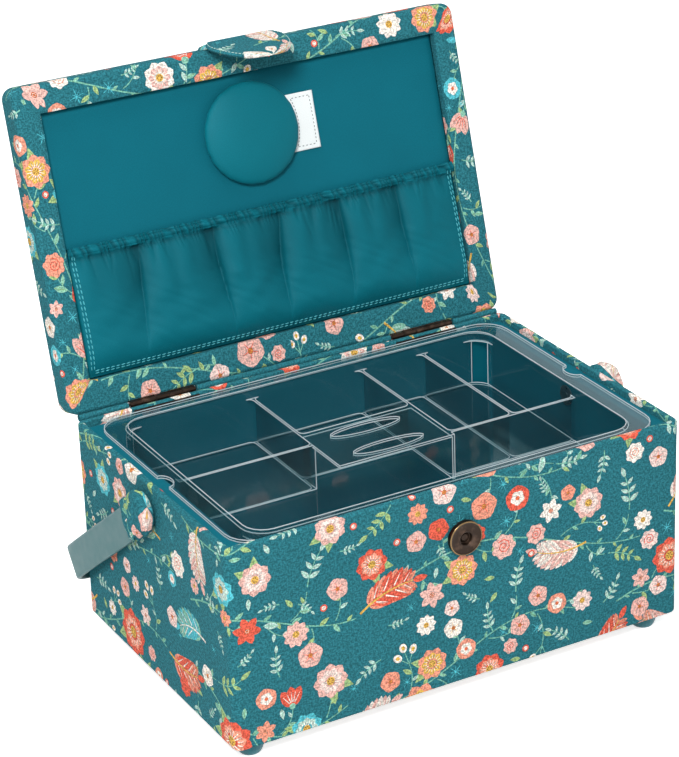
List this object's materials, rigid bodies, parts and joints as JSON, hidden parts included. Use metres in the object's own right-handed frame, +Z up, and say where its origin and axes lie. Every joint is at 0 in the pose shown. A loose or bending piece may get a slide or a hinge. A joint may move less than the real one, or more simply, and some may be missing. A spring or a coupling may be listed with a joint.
{
  "type": "sewing box",
  "caption": "Cloth-covered box with a hinged lid, magnetic flap closure, bail handle, lift-out clear divided tray, gathered lid pocket and pincushion.",
  "frame": {"origin": "on the floor, below the middle of the bounding box of the box as it stands open", "axes": "+Z up, +X to the right seen from the front, +Y to the back, where the lid's hinges are"},
  "size_m": [0.275, 0.2398, 0.2916],
  "materials": {
    "printed_canvas": "matt printed canvas",
    "lining_cloth": "plain woven lining",
    "pocket_cloth": "plain woven lining, gathered",
    "cushion_cloth": "smooth stretched cloth",
    "board": "raw grey board",
    "foot_plastic": "satin moulded plastic",
    "handle_plastic": "satin moulded plastic",
    "clear_plastic": "clear, glossy",
    "aged_brass": "dark antique",
    "steel": "plain zinc plated",
    "magnet": "dull grey ceramic magnet",
    "elastic": "woven elastic",
    "label_tape": "woven tape"
  },
  "bodies": {
    "box": {"body_cover": "printed_canvas", "lining_front": "lining_cloth", "lining_back": "lining_cloth", "lining_left": "lining_cloth", "lining_right": "lining_cloth", "base_lining": "lining_cloth", "body_carcass": "board", "base_board": "board", "foot_front_left": "foot_plastic", "foot_tack_front_left": "steel", "foot_back_left": "foot_plastic", "foot_tack_back_left": "steel", "foot_front_right": "foot_plastic", "foot_tack_front_right": "steel", "foot_back_right": "foot_plastic", "foot_tack_back_right": "steel", "snap_socket": "aged_brass", "hinge_body_leaf_left": "aged_brass", "hinge_pin_left": "aged_brass", "pivot_rivet_left": "steel", "rivet_washer_left": "steel", "hinge_body_leaf_right": "aged_brass", "hinge_pin_right": "aged_brass", "pivot_rivet_right": "steel", "rivet_washer_right": "steel", "snap_washer": "steel", "snap_magnet": "magnet"},
    "lid": {"lid_frame": "printed_canvas", "lid_top_board": "printed_canvas", "lid_lining_panel": "lining_cloth", "pocket": "pocket_cloth", "pocket_elastic": "elastic", "pincushion": "cushion_cloth", "pincushion_base": "board", "label_tab": "label_tape", "closure_flap_root": "printed_canvas", "hinge_lid_leaf_left": "aged_brass", "hinge_lid_leaf_right": "aged_brass"},
    "flap": {"closure_flap": "printed_canvas", "snap_stud": "aged_brass"},
    "handle": {"handle_bail": "handle_plastic", "handle_sleeve_left": "printed_canvas", "handle_sleeve_right": "printed_canvas"},
    "tray": {"tray": "clear_plastic"}
  },
  "joints": [
    {"name": "lid_hinge", "type": "hinge", "parent": "box", "child": "lid", "pos_m": [0, 0.05529, 0.1196], "axis": [1, 0, 0], "range_deg": [0, 105.8]},
    {"name": "flap_bend", "type": "hinge", "parent": "lid", "child": "flap", "pos_m": [0, 0.1034, 0.2889], "axis": [1, 0, 0], "range_deg": [-13.7, 0]},
    {"name": "handle_swing", "type": "hinge", "parent": "box", "child": "handle", "pos_m": [0, -0.03161, 0.1042], "axis": [1, 0, 0], "range_deg": [0, 38]},
    {"name": "tray_lift", "type": "slide", "parent": "box", "child": "tray", "axis": [0, 0, 1], "range_m": [0, 0.08]}
  ],
  "couplings": [
    {"joint": "flap_bend", "follows": "lid_hinge", "ratio": -0.12854}
  ]
}
